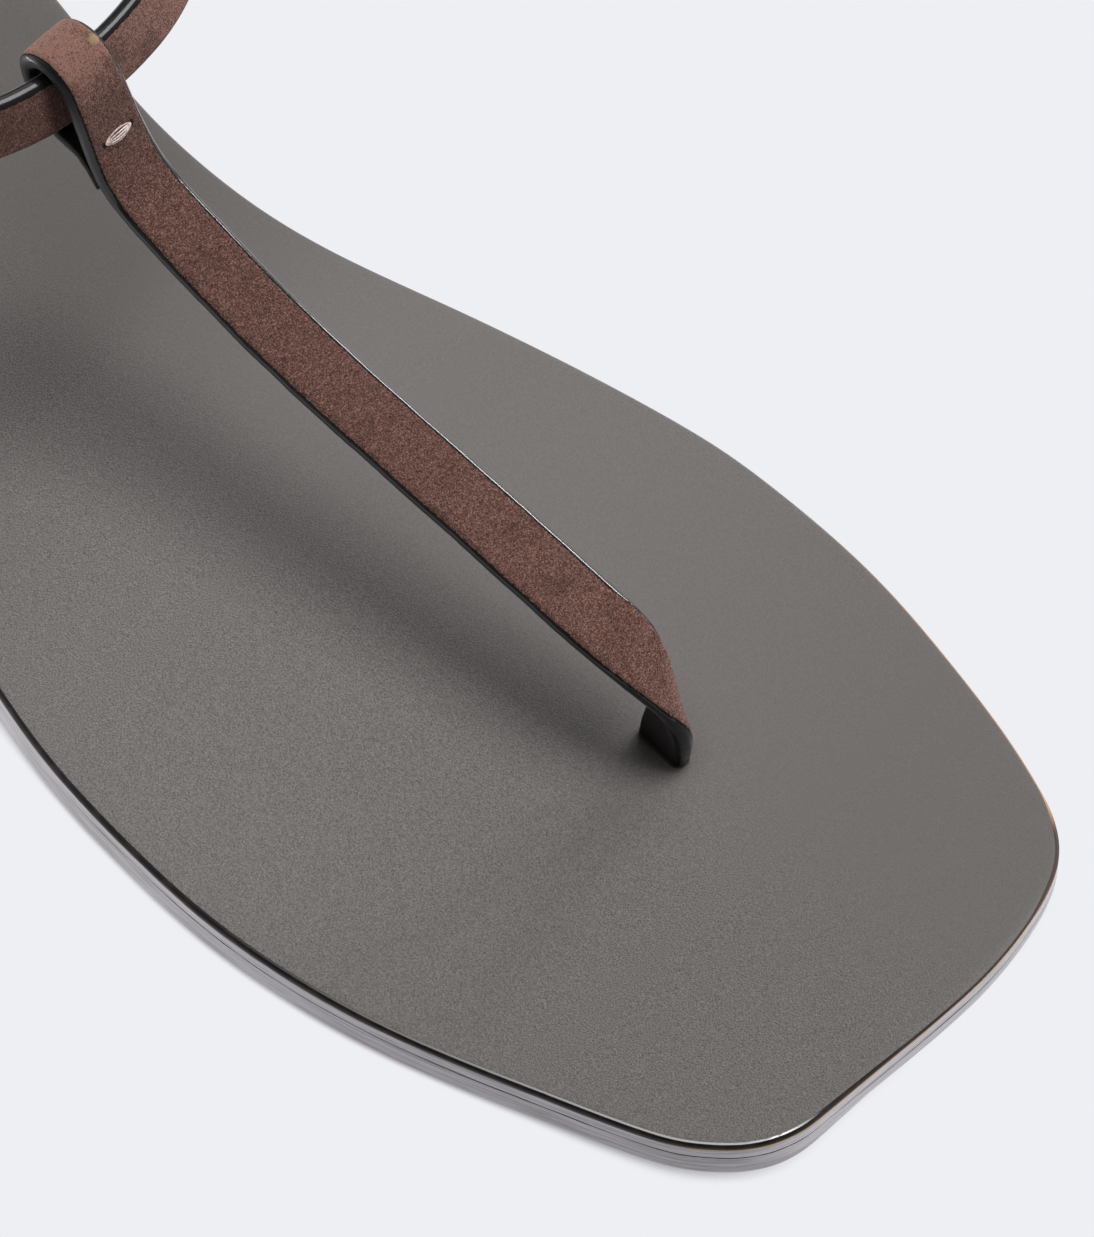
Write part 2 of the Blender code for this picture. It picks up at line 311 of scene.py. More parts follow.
def new_group(name, inputs, outputs):
    """A shader node group, with the sockets of its two ends."""
    tree = bpy.data.node_groups.new(name, "ShaderNodeTree")
    for label, kind in inputs.items():
        tree.interface.new_socket(label, in_out="INPUT", socket_type="NodeSocket" + kind)
    for label, kind in outputs.items():
        tree.interface.new_socket(label, in_out="OUTPUT", socket_type="NodeSocket" + kind)
    start = tree.nodes.new("NodeGroupInput")
    end = tree.nodes.new("NodeGroupOutput")
    return tree, start.outputs, end.inputs


def new_material(name):
    material = bpy.data.materials.new(name)
    material.use_nodes = True
    tree = material.node_tree
    return material, tree, tree.nodes["Principled BSDF"]


def attribute(tree, name):
    return add(tree, "Attribute", attribute_name=name).outputs["Fac"]


def object_place(tree):
    return add(tree, "TexCoord").outputs["Object"]


WHEEL_STREAKS = [
    # waves per metre along the wall, waves per mm up it, detail
    (55, 1.5, 3.0),  # broad
    (160, 5.0, 2.0),  # fine
    (420, 2.6, 2.0),  # nicks
]
NICK_RELIEF = 0.6            # the height of the nicks against the fine streaks


def burnished_edge_group():
    """Streaks that the burnishing wheel leaves along a dyed edge: a tone, and a height for the bump."""
    tree, given, result = new_group("burnished_edge", {"Place": "Vector", "Height": "Float"},
                                    {"Tone": "Float", "Relief": "Float"})
    parts = add(tree, "SeparateXYZ", {0: given["Place"]}).outputs
    streaks = []
    for along, up, detail in WHEEL_STREAKS:
        stretched = add(tree, "CombineXYZ", {
            "X": math(tree, "MULTIPLY", parts["X"], along),
            "Y": math(tree, "MULTIPLY", parts["Y"], along),
            "Z": math(tree, "MULTIPLY", given["Height"], up)}).outputs[0]
        streaks.append(fleck(tree, stretched, 1.0, detail))
    broad, fine, nicks = streaks
    tone = math(tree, "MULTIPLY", math(tree, "ADD", broad, fine), 0.5)
    tree.links.new(tone, result["Tone"])
    relief = math(tree, "MULTIPLY_ADD", nicks, NICK_RELIEF, fine)
    tree.links.new(relief, result["Relief"])
    return tree


burnished_edge = burnished_edge_group()
SOLE_DARK = colour(139, 134, 136)
SOLE_LIGHT = colour(195, 191, 195)
SEAM_BLACK = colour(58, 50, 48)
OUTSOLE_TINT = colour(156, 148, 149)
TINT_SHARE = 0.25
STREAK_TONES = (0.38, 0.60)  # a streak turns from dark to light between these
WALL_ROUGH = (0.22, 0.30)    # the least roughness, and what a full tone adds
OUTSOLE_SEAM = 0.16          # how far the glue line comes down from the top of the wall
SEAM_WANDER = 0.3            # its ragged edge wanders over this much
SEAM_CORE = 0.3              # the share of it where no leather shows through
SEAM_SCALE = 420.0
TOE_GLUE = (-0.106, -0.118)  # the glue changes colour towards the toe line, between these, in metres


def sole_leather(name, seam, seam_reach, side_glue, toe_glue, tint):
    """Dyed and burnished sole leather, with a thin uneven glue line at the height of its seam."""
    material, tree, shader = new_material(name)
    where = object_place(tree)
    height = attribute(tree, "height")
    wheel = add(tree, "Group", {"Place": where, "Height": height}, node_tree=burnished_edge)
    tone = between(tree, wheel.outputs["Tone"], *STREAK_TONES)
    face = mix(tree, tone, SOLE_DARK, SOLE_LIGHT)
    face = mix(tree, TINT_SHARE, face, tint)
    ragged = fleck(tree, where, SEAM_SCALE, 3.0)
    ragged = math(tree, "MULTIPLY_ADD", ragged, SEAM_WANDER, -SEAM_WANDER / 2)
    reach = math(tree, "ABSOLUTE", math(tree, "SUBTRACT", height, seam))
    near = between(tree, math(tree, "ADD", reach, ragged), seam_reach, seam_reach * SEAM_CORE)
    at_toe = between(tree, add(tree, "SeparateXYZ", {0: where}).outputs["Y"], *TOE_GLUE)
    face = mix(tree, near, face, mix(tree, at_toe, side_glue, toe_glue))
    rough = math(tree, "MULTIPLY_ADD", wheel.outputs["Tone"], WALL_ROUGH[1], WALL_ROUGH[0])
    feed(tree, shader, {"Base Color": face, "Roughness": rough, "Coat Weight": 0.2, "Coat Roughness": 0.25,
                        "Normal": bumps(tree, wheel.outputs["Relief"], distance=0.00012, strength=0.6)})
    return material


outsole_mesh = cut_layer(OUTSOLE_BASE, OUTSOLE_TOP, SEAM_ROUND, OUTSOLE_EDGE_ROUND)
sand_wall(outsole_mesh, OUTSOLE_BASE, OUTSOLE_TOP, OUTSOLE_SEED)
undercut_toe(outsole_mesh)
bend_layer(outsole_mesh)
outsole_finish = sole_leather("outsole_leather", OUTSOLE_TOP, OUTSOLE_SEAM, SEAM_BLACK, SEAM_BLACK,
                              OUTSOLE_TINT)
outsole = finish_piece(outsole_mesh, "outsole_visual", outsole_finish)
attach(outsole, "root")
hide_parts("outsole")

# Midsole
# The upper layer of the same sole leather, glued on the outsole and sanded flush with it.
# The glue line below it is a thin uneven dark seam, and the glue above it shows golden in places.
GLUE_GAP = 0.02              # between two layers
MIDSOLE_BASE = OUTSOLE_TOP + GLUE_GAP
MIDSOLE_TOP = 5.76
MIDSOLE_SEED = 11.0
MIDSOLE_SEAM = 0.36          # how far the glue line comes down from the top of the wall
MIDSOLE_TINT = colour(184, 179, 185)
GLUE_BROWN = colour(92, 76, 62)
GLUE_GOLD = colour(186, 134, 62)
midsole_mesh = cut_layer(MIDSOLE_BASE, MIDSOLE_TOP, SEAM_ROUND, SEAM_ROUND)
sand_wall(midsole_mesh, MIDSOLE_BASE, MIDSOLE_TOP, MIDSOLE_SEED)
bend_layer(midsole_mesh)
midsole_finish = sole_leather("midsole_leather", MIDSOLE_TOP, MIDSOLE_SEAM, GLUE_BROWN, GLUE_GOLD,
                              MIDSOLE_TINT)
midsole = finish_piece(midsole_mesh, "midsole_visual", midsole_finish)
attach(midsole, "root")
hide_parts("midsole")

# Footbed
# Thin smooth leather with a fine printed grain, glued on the midsole. Its edge is rolled over and painted
# black, and a slot is sunk in it for the toe strap, which draws the leather down a little.
FOOTBED_BASE = MIDSOLE_TOP + GLUE_GAP
FOOTBED_TOP = 6.6
FOOTBED_EDGE_ROUND = 0.35
FOOTBED_SEAM_ROUND = 0.05
ROLL_WIDTH = 1.3             # the top face falls away this far from its edge
ROLL_DROP = (0.20, 0.04)     # on the outer and on the inner side
ROLL_ACROSS = (10.0, 22.0)   # it changes between these
ROLL_STEPS = 5
PAINT_REACH = [
    # across, how far the edge paint comes on to the top face there
    (-30.0, 0.58),
    (-20.0, 0.30),
    (-11.0, 0.08),
    (0.0, 0.02),
    (10.0, 0.08),
    (15.0, 0.40),
    (22.0, 0.55),
    (25.0, 0.15),
]
GRID_STEP = 2.0
SLOT_PLACE = (0.4, 0.3)      # across, behind
SLOT_TURN = np.radians(84)
SLOT_HALF = (3.3, 1.2)       # along and across the slot, which the strap fills
SLOT_DEPTH = 0.5
SLOT_REGION = 9.0            # only the leather this near the slot is cut by its sides
DIMPLE_REACH = 4.5
DIMPLE_DEPTH = 0.30
SLOT_ALONG = np.array([np.cos(SLOT_TURN), np.sin(SLOT_TURN), 0])
SLOT_ACROSS = np.array([-np.sin(SLOT_TURN), np.cos(SLOT_TURN), 0])


def from_slot(point):
    """How far a point is along and across the slot, in mm."""
    offset = np.array(point) / MM - (*(np.array(SLOT_PLACE) - MIDDLE), 0)
    return abs(offset @ SLOT_ALONG), abs(offset @ SLOT_ACROSS)


def from_edge(point):
    """How far a point is from the outline of the sole, seen from above, in mm."""
    offset = np.array(point[:2]) / MM + MIDDLE - EDGE
    chord = np.roll(EDGE, -1, axis=0) - EDGE
    share = np.clip(np.sum(offset * chord, axis=1) / np.sum(chord ** 2, axis=1), 0, 1)
    return np.min(np.linalg.norm(offset - share[:, None] * chord, axis=1))


def top_faces_near_slot(bm):
    """The faces of the top sheet round the slot."""
    found = []
    for face in bm.faces:
        centre = face.calc_center_median()
        if centre.z / MM > FOOTBED_TOP - SAME and np.hypot(*from_slot(centre)) < SLOT_REGION:
            found.append(face)
    return found


def press_top(bm):
    """Rolls the rim down and dips the leather at the slot.

    Each point keeps how far it is from the border of the edge paint: below 0 is painted.
    """
    unpainted = bm.verts.layers.float.new("unpainted")
    for vert in bm.verts:
        across = vert.co.x / MM + MIDDLE[0]
        from_rim = from_edge(vert.co)
        below = FOOTBED_TOP - vert.co.z / MM
        if below < FOOTBED_EDGE_ROUND + SAME:
            fall = np.clip(1 - from_rim / ROLL_WIDTH, 0, 1)
            drop = np.interp(across, ROLL_ACROSS, ROLL_DROP)
            beyond = np.maximum(np.subtract(from_slot(vert.co), SLOT_HALF), 0)
            dimple = np.clip(1 - np.hypot(*beyond) / DIMPLE_REACH, 0, 1)
            vert.co.z -= (drop * fall ** 2 + DIMPLE_DEPTH * dimple ** 2) * MM
        vert[unpainted] = from_rim - below - np.interp(across, *np.array(PAINT_REACH).T)


footbed_mesh = cut_layer(FOOTBED_BASE, FOOTBED_TOP, FOOTBED_EDGE_ROUND, FOOTBED_SEAM_ROUND)
top_face = max(footbed_mesh.faces, key=lambda f: f.calc_center_median().z)
for step in range(ROLL_STEPS):
    bmesh.ops.inset_region(footbed_mesh, faces=[top_face], thickness=ROLL_WIDTH / ROLL_STEPS * MM,
                           use_boundary=True, use_even_offset=True)
for behind in np.arange(TOE_TIP + GRID_STEP / 2, HEEL_TIP, GRID_STEP):
    cut(footbed_mesh, (0, behind, 0), (0, 1, 0))
for across in np.arange(EDGE[:, 0].min() + GRID_STEP / 2, EDGE[:, 0].max(), GRID_STEP):
    cut(footbed_mesh, (across, 0, 0), (1, 0, 0))
for direction, half in ((SLOT_ALONG, SLOT_HALF[0]), (SLOT_ACROSS, SLOT_HALF[1])):
    for side in (-half, half):
        parts = set()
        for face in top_faces_near_slot(footbed_mesh):
            parts.update([face], face.edges, face.verts)
        point = np.array([*SLOT_PLACE, 0]) + direction * side
        bmesh.ops.bisect_plane(footbed_mesh, geom=list(parts), dist=SAME * MM,
                               plane_co=place([point])[0], plane_no=direction)
punched = []
for face in top_faces_near_slot(footbed_mesh):
    along, across = from_slot(face.calc_center_median())
    if along < SLOT_HALF[0] and across < SLOT_HALF[1]:
        punched.append(face)
sunk = bmesh.ops.extrude_face_region(footbed_mesh, geom=punched)["geom"]
bmesh.ops.translate(footbed_mesh, verts=made(sunk, bmesh.types.BMVert), vec=(0, 0, -SLOT_DEPTH * MM))
bmesh.ops.delete(footbed_mesh, geom=punched, context="FACES_ONLY")
press_top(footbed_mesh)
bend_layer(footbed_mesh)

# Painted light and shade along the foot: the leather is paler across the ball as painted light, and darker
# at the seat under the ankle strap as painted shade.
LEATHER_TOE = colour(103, 99, 97)
LEATHER_BALL_PAINTED_LIGHT = colour(112, 108, 106)
LEATHER_SEAT_PAINTED_SHADE = colour(102, 98, 96)
EDGE_BLACK = colour(20, 18, 18)
EDGE_BROWN = colour(40, 31, 28)
EDGE_UMBER = colour(66, 54, 50)
EDGE_MAUVE = colour(116, 102, 102)
EDGE_GOLD = colour(176, 132, 92)
PEBBLE_SCALE = 3800.0
SPECK_SCALE = 4800.0
STREAK_SCALE = 500.0
STREAK_BROWN = (0.45, 0.65)  # a streak turns from black to brown between these
SPECK_RELIEF = 0.8           # the height of the specks against the pebbles
LEAST_GRAIN = 0.15           # the share of the relief where the leather is smoothest
SPECK_GLINT_CONTRAST = (0.5, 1.2)  # painted glints: the colour contrast of the specks where it is smoothest, and what full grain adds
LEATHER_ROUGH = (0.42, 0.2)  # the least roughness, and what a full speck adds

# Where each look starts and is full: across and along in metres, deep in mm from the border of the paint
GRAIN_AND_GLINT_ACROSS = (0.018, -0.008)
BALL_PAINTED_LIGHT_ALONG = (-0.105, -0.03)
SEAT_PAINTED_SHADE_ALONG = (-0.015, 0.025)
UMBER_ACROSS = (0.014, 0.024)
GOLD_ALONG = (-0.055, -0.085)
THIN_ACROSS = (0.0295, 0.0325)
THIN_DEEP = (-0.42, -0.32)
GLOSS_ACROSS = (-0.017, -0.025)
GLOSS_ALONG = (-0.045, -0.125)
GLOSS_DEEP = (-0.34, -0.22)
PAINT_DEEP = (0.04, -0.04)


def footbed_leather():
    """Dark grey leather, smoother towards the inner side, with the paint of its edge, painted glints, and
    painted light and shade along the foot.
    """
    material, tree, shader = new_material("footbed_leather")
    where = object_place(tree)
    across, along = add(tree, "SeparateXYZ", {0: where}).outputs[:2]
    pebble = add(tree, "TexVoronoi", {"Vector": where, "Scale": PEBBLE_SCALE}, feature="F1")
    speck = fleck(tree, where, SPECK_SCALE, 1.0, 0.6)
    # Painted glints: towards the outer side the specks' colour contrast rises where the light catches the
    # grain. The same mask strengthens the grain's bump.
    grain_and_glints = between(tree, across, *GRAIN_AND_GLINT_ACROSS)
    # Painted light across the ball and painted shade at the seat, under the ankle strap.
    plain_with_painted_light = mix(tree, between(tree, along, *BALL_PAINTED_LIGHT_ALONG), LEATHER_TOE, LEATHER_BALL_PAINTED_LIGHT)
    plain_with_painted_light = mix(tree, between(tree, along, *SEAT_PAINTED_SHADE_ALONG), plain_with_painted_light, LEATHER_SEAT_PAINTED_SHADE)
    painted_glint_contrast = math(tree, "MULTIPLY_ADD", grain_and_glints, SPECK_GLINT_CONTRAST[1], SPECK_GLINT_CONTRAST[0])
    tone = math(tree, "MULTIPLY_ADD", math(tree, "SUBTRACT", speck, 0.5), painted_glint_contrast, 1.0)
    face = add(tree, "VectorMath", {0: plain_with_painted_light, "Scale": tone}, operation="SCALE").outputs[0]
    streak = fleck(tree, where, STREAK_SCALE, 3.0)
    edge = mix(tree, between(tree, streak, *STREAK_BROWN), EDGE_BLACK, EDGE_BROWN)
    edge = mix(tree, between(tree, across, *UMBER_ACROSS), edge, EDGE_UMBER)
    bare = mix(tree, between(tree, along, *GOLD_ALONG), EDGE_MAUVE, EDGE_GOLD)
    unpainted = attribute(tree, "unpainted")
    thin = between(tree, across, *THIN_ACROSS)
    thin = math(tree, "MULTIPLY", thin, between(tree, unpainted, *THIN_DEEP))
    edge = mix(tree, thin, edge, bare)
    paint = between(tree, unpainted, *PAINT_DEEP)
    rough = math(tree, "MULTIPLY_ADD", speck, LEATHER_ROUGH[1], LEATHER_ROUGH[0])
    glossy = between(tree, unpainted, *GLOSS_DEEP)
    for mask in (between(tree, across, *GLOSS_ACROSS), between(tree, along, *GLOSS_ALONG), paint):
        glossy = math(tree, "MULTIPLY", glossy, mask)
    grain = math(tree, "ADD", pebble.outputs["Distance"], math(tree, "MULTIPLY", speck, SPECK_RELIEF))
    grain = math(tree, "MULTIPLY", grain, math(tree, "MULTIPLY_ADD", grain_and_glints, 1 - LEAST_GRAIN, LEAST_GRAIN))
    grain = math(tree, "MULTIPLY", grain, math(tree, "SUBTRACT", 1.0, paint))
    feed(tree, shader, {"Base Color": mix(tree, paint, face, edge), "Roughness": rough,
                        "Specular IOR Level": 0.2, "Coat Weight": glossy, "Coat Roughness": 0.15,
                        "Coat IOR": 2.2, "Normal": bumps(tree, grain, distance=0.00008, strength=0.7)})
    return material


footbed = finish_piece(footbed_mesh, "footbed_visual", footbed_leather())
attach(footbed, "root")
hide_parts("footbed")

# Toe strap
# One narrow strap of brown suede on a black lining, its cut edges painted. Its tail stands in the slot as
# the toe post, turns a quarter turn, runs back over the foot, folds round the ankle strap and ends under
# itself.
STRAP_THICK = 2.4
RUN_THICK = 2.0              # pressed flat along the foot
STRAP_EDGE_ROUND = 1.15
EDGE_ROUND_SHARE = 0.48      # the most that the round takes of a pared strap's thickness
STRAP_WIDTH = 9.2
POST_WIDTH = 7.4
POST_THICK = 2.9             # with the paint that seals the post
FOLD_WIDTH = 8.2
CROWN = 0.12                 # the suede face stands proud along its middle
PAINT_BULGE = 0.06           # the paint stands proud along the middle of an edge
EDGE_WANDER = 0.09           # the hand-cut edges wander in and out
EDGE_WAVES = [
    # waves per mm along an edge, share
    (0.16, 1.0),
    (0.7, 0.4),
]
EDGE_APART = 7               # keeps the wander of the two edges different
EDGE_HOLD = 4                # how fast it fades towards the middle
TOE_STRAP_SEED = 1.7
FACE_STEPS = 10              # from the middle of a face to the round of an edge
CORNER_STEPS = 9
SIDE_STEPS = 2
TOE_STRAP_SECTIONS = 520
FOOTBED_THICK = 1.0
TOE_POST = [
    # across, behind, height over the footbed, turn, dip
    (0.4, 0.3, -FOOTBED_THICK, 84, 0),
    (0.4, 0.0, 2.0, 83, -8),
    (0.5, -0.5, 5.2, 78, -24),
    (0.7, -0.4, 8.6, 66, -30),
    (0.8, 1.0, 11.6, 46, -25),
    (0.6, 3.9, 14.1, 26, -16),
    (0.2, 8.0, 16.0, 9, -6),
    (0.0, 12.0, 17.1, 0, 0),
]
TOE_STRAP_RUN = [
    # behind, height over the footbed, width, thickness
    (20.2, 18.7, STRAP_WIDTH, RUN_THICK),
    (30.2, 20.7, STRAP_WIDTH, RUN_THICK),
    (40.2, 22.6, STRAP_WIDTH, RUN_THICK),
    (50.3, 24.5, STRAP_WIDTH, RUN_THICK),
    (60.3, 26.9, STRAP_WIDTH, RUN_THICK),
    (70.4, 30.3, STRAP_WIDTH, RUN_THICK),
    (78.5, 33.7, STRAP_WIDTH, 2.1),
    (83.0, 35.9, STRAP_WIDTH, 2.3),
    (85.9, 38.2, STRAP_WIDTH, STRAP_THICK),
    (87.9, 41.4, 9.0, STRAP_THICK),
    (89.7, 45.4, 8.7, STRAP_THICK),
    (91.1, 49.0, 8.4, STRAP_THICK),
    (92.6, 51.9, FOLD_WIDTH, STRAP_THICK),
    (94.7, 53.6, FOLD_WIDTH, STRAP_THICK),
    (97.2, 53.5, FOLD_WIDTH, STRAP_THICK),
    (99.0, 51.7, FOLD_WIDTH, STRAP_THICK),
    (98.9, 49.3, FOLD_WIDTH, STRAP_THICK),
    (97.5, 45.4, FOLD_WIDTH, STRAP_THICK),
    (96.0, 42.9, FOLD_WIDTH, 2.2),
    (93.6, 41.6, FOLD_WIDTH, 1.8),
    (91.3, 41.0, FOLD_WIDTH, 1.5),
    (89.7, 39.7, FOLD_WIDTH, 1.2),  # pared thin towards its end, under the strap
    (88.6, 38.2, FOLD_WIDTH, 1.0),
    (87.8, 37.1, FOLD_WIDTH, 0.8),
]
TOE_CREASES = [
    # along the strap in mm, slant, depth, half width
    (15.5, 0.55, 0.16, 1.6),
    (19.5, 0.40, -0.10, 1.8),
    (24.0, 0.25, 0.08, 2.4),
    (99.5, -0.10, 0.14, 1.8),
    (103.0, 0.12, -0.08, 1.5),
]
TOE_WEAR_AND_LIGHT = [
    # along the strap in mm, how pale the nap is there: rubbed nap, with painted light on the crest of the
    # fold
    (0, 0.1),
    (40, 0.1),
    (70, 0.0),
    (114, 0.0),
    (117, 0.3),
    (119.5, 0.9),
    (123, 1.0),
    (128, 0.4),
    (136, 0.0),
]
TOE_PAINT = [
    # along the strap in mm, how far the paint comes on to the suede at its outer and inner edge
    (0, 0.5, 0.5),
    (12, 0.35, 0.2),
    (19, 0.2, 0.25),
    (26, 0.15, 0.82),
    (90, 0.15, 0.82),
    (104, 0.4, 0.82),
    (110, 0.5, 0.45),
    (140, 0.5, 0.45),
]


def strap_section(half_width, half_thick):
    """A strap cut across, from the middle of the suede face round and back.

    Rows of sideways and outward distances, and where on the section each point is: mm in from the edge on
    the suede face, 0 to -1 down a painted edge, below -1 on the lining.
    """
    radius = min(STRAP_EDGE_ROUND, half_thick * 2 * EDGE_ROUND_SHARE)
    flat = half_width - radius
    rows = []
    for sideways in np.linspace(0, flat, FACE_STEPS, endpoint=False):
        rows.append((sideways, half_thick, half_width - sideways))
    for angle in np.radians(np.linspace(90, 0, CORNER_STEPS)):
        reach = flat + radius * np.cos(angle)
        rise = half_thick - radius + radius * np.sin(angle)
        depth = (half_thick - rise) / (2 * half_thick)
        rows.append((reach, rise, half_width - reach - depth))
    for rise in np.linspace(half_thick - radius, 0, SIDE_STEPS + 1)[1:]:
        rows.append((half_width, rise, (rise - half_thick) / (2 * half_thick)))
    upper = np.array(rows)
    lower = upper[-2::-1] * (1, -1, 1)
    lower[:, 2] = -1 - lower[:, 2]
    half = np.vstack([upper, lower])
    return np.vstack([half, half[-2:0:-1] * (-1, 1, 1)])


def next_ring(bm, ring_edges):
    """Extrudes a ring of edges, and gives the points and the edges of the new ring."""
    raised = bmesh.ops.extrude_edge_only(bm, edges=ring_edges)["geom"]
    verts = made(raised, bmesh.types.BMVert)
    fresh = set(verts)
    return verts, [e for e in made(raised, bmesh.types.BMEdge) if fresh.issuperset(e.verts)]


def sweep_strap(middle, sideways, width, thick, creases, wear_and_light, paint, seed, closed):
    """A strap along its middle line, from the direction of its width at each section.

    Its points keep their place round the section and along the strap, how pale the nap is there from wear
    and painted light, and how far the edge paint comes on to the suede.
    """
    if closed:
        tangent = np.roll(middle, -1, axis=0) - np.roll(middle, 1, axis=0)
    else:
        tangent = np.gradient(middle, axis=0)
    out = np.cross(sideways, tangent)
    out /= np.linalg.norm(out, axis=1)[:, None]
    run = np.r_[0, np.cumsum(np.linalg.norm(np.diff(middle, axis=0), axis=1))]
    wear_and_light_at = np.interp(run, *np.array(wear_and_light).T)
    paint_run, *paint_edges = np.array(paint).T
    paint_at = np.stack([np.interp(run, paint_run, edge) for edge in paint_edges], axis=1)
    bm = bmesh.new()
    turn_layer = bm.verts.layers.int.new("turn")
    layers = [bm.verts.layers.float.new(name) for name in ("girth", "along", "wear_and_light", "paint")]
    ring_verts = bmesh.ops.create_circle(bm, segments=len(strap_section(1, 1)), radius=1)["verts"]
    ring_edges = list(bm.edges)
    first_edges = ring_edges
    for turn, vert in enumerate(ring_verts):
        vert[turn_layer] = turn
    for i in range(len(middle)):
        if i:
            ring_verts, ring_edges = next_ring(bm, ring_edges)
        side, rise, girth = strap_section(width[i] / 2, thick[i] / 2).T
        share = 2 * side / width[i]
        body = thick[i] / STRAP_THICK
        rise = rise + np.where(girth > 0, CROWN * body * (1 - share ** 2), 0)
        for at, slant, depth, half_width in creases:
            trough = depth * np.exp(-((run[i] - at - slant * side) / half_width) ** 2)
            rise = rise - np.where(girth > 0, trough, 0)
        painted = (girth < 0) & (girth > -1)
        side = side + np.sign(side) * np.where(painted, PAINT_BULGE * body * np.sin(-np.pi * girth), 0)
        for edge in (-1, 1):
            wander = 0
            for waves, weight in EDGE_WAVES:
                wander += weight * noise.noise((run[i] * waves, edge * EDGE_APART, seed))
            side = side + np.clip(share * edge, 0, 1) ** EDGE_HOLD * edge * wander * EDGE_WANDER
        points = place(middle[i] + side[:, None] * sideways[i] + rise[:, None] * out[i])
        for vert in ring_verts:
            turn = vert[turn_layer]
            vert.co = points[turn]
            reach = paint_at[i, int(share[turn] > 0)]
            for layer, value in zip(layers, (girth[turn], run[i], wear_and_light_at[i], reach)):
                vert[layer] = value
    if closed:
        bmesh.ops.bridge_loops(bm, edges=first_edges + ring_edges)
    else:
        bmesh.ops.holes_fill(bm, edges=first_edges + ring_edges, sides=0)
    return bm


FINE_NAP_SCALE = 4600.0
COARSE_NAP_SCALE = 1500.0
CLOUD_SCALE = 190.0
FINE_NAP = 0.82              # the share of the fine nap in the speckle


def suede_nap_group():
    """The nap of brushed suede: a fine speckle, and broad clouds where it lies another way."""
    tree, given, result = new_group("suede_nap", {"Place": "Vector"},
                                    {"Speckle": "Float", "Clouds": "Float"})
    fine = fleck(tree, given["Place"], FINE_NAP_SCALE, 2.0, 0.8)
    coarse = fleck(tree, given["Place"], COARSE_NAP_SCALE, 2.0, 0.6)
    broad = fleck(tree, given["Place"], CLOUD_SCALE, 3.0, 0.55)
    coarse = math(tree, "MULTIPLY", coarse, 1 - FINE_NAP)
    speckle = math(tree, "ADD", math(tree, "MULTIPLY", fine, FINE_NAP), coarse)
    tree.links.new(speckle, result["Speckle"])
    tree.links.new(broad, result["Clouds"])
    return tree


suede_nap = suede_nap_group()
SUEDE_DEEP = colour(60, 40, 34)
SUEDE_BROWN = colour(95, 68, 61)
SUEDE_PALE = colour(145, 109, 98)
RUBBED_AND_LIT_SHIFT = 0.14          # how far rubbing and painted light move the speckle towards its pale colour
PAINT_BLACK = colour(24, 24, 26)
FRAY_BLACK = colour(16, 14, 14)
LINING_BLACK = colour(13, 10, 9)
LINING_BROWN = colour(42, 30, 25)
SLOT_TAN = colour(92, 86, 66)
RUBBED_AND_LIT_CLOUDS = (0.1, 0.5)   # the rubbing and painted light show from none to full between these
NAP_BROWN = (0.37, 0.51)     # the speckle turns from deep to brown between these
NAP_PALE = (0.50, 0.66)      # and from brown to pale
CLOUD_DEEP = (0.46, 0.34)    # the darker clouds
CLOUD_SHARE = 0.25
RAG_SCALE = 2400.0
RAG_REACH = 0.55             # the border of the edge paint wanders over this many mm
FRAY_OUTSIDE = (0.16, 0.02)  # the black line along that border, in mm from it
FRAY_INSIDE = (-0.22, -0.06)
LINING_FROM = (-0.92, -1.0)  # down the painted edge
LINING_RAG = 0.1
LINING_TONES = (0.5, 0.65)
SPOT_CORE = 0.45             # the share of a spot that is fully stained
SLOT_FADE = 0.25
SUEDE_ROUGH = 0.95
PAINT_SMOOTH = 0.5           # what the paint takes off that roughness
PAINT_FLAT = 0.9             # the share of the nap's height that the paint hides
FULL_COAT = 0.5              # of fresh paint, over the dull coat
DULL_COAT = 0.1
DULL_FADE = 6                # mm along the strap from fresh to dull


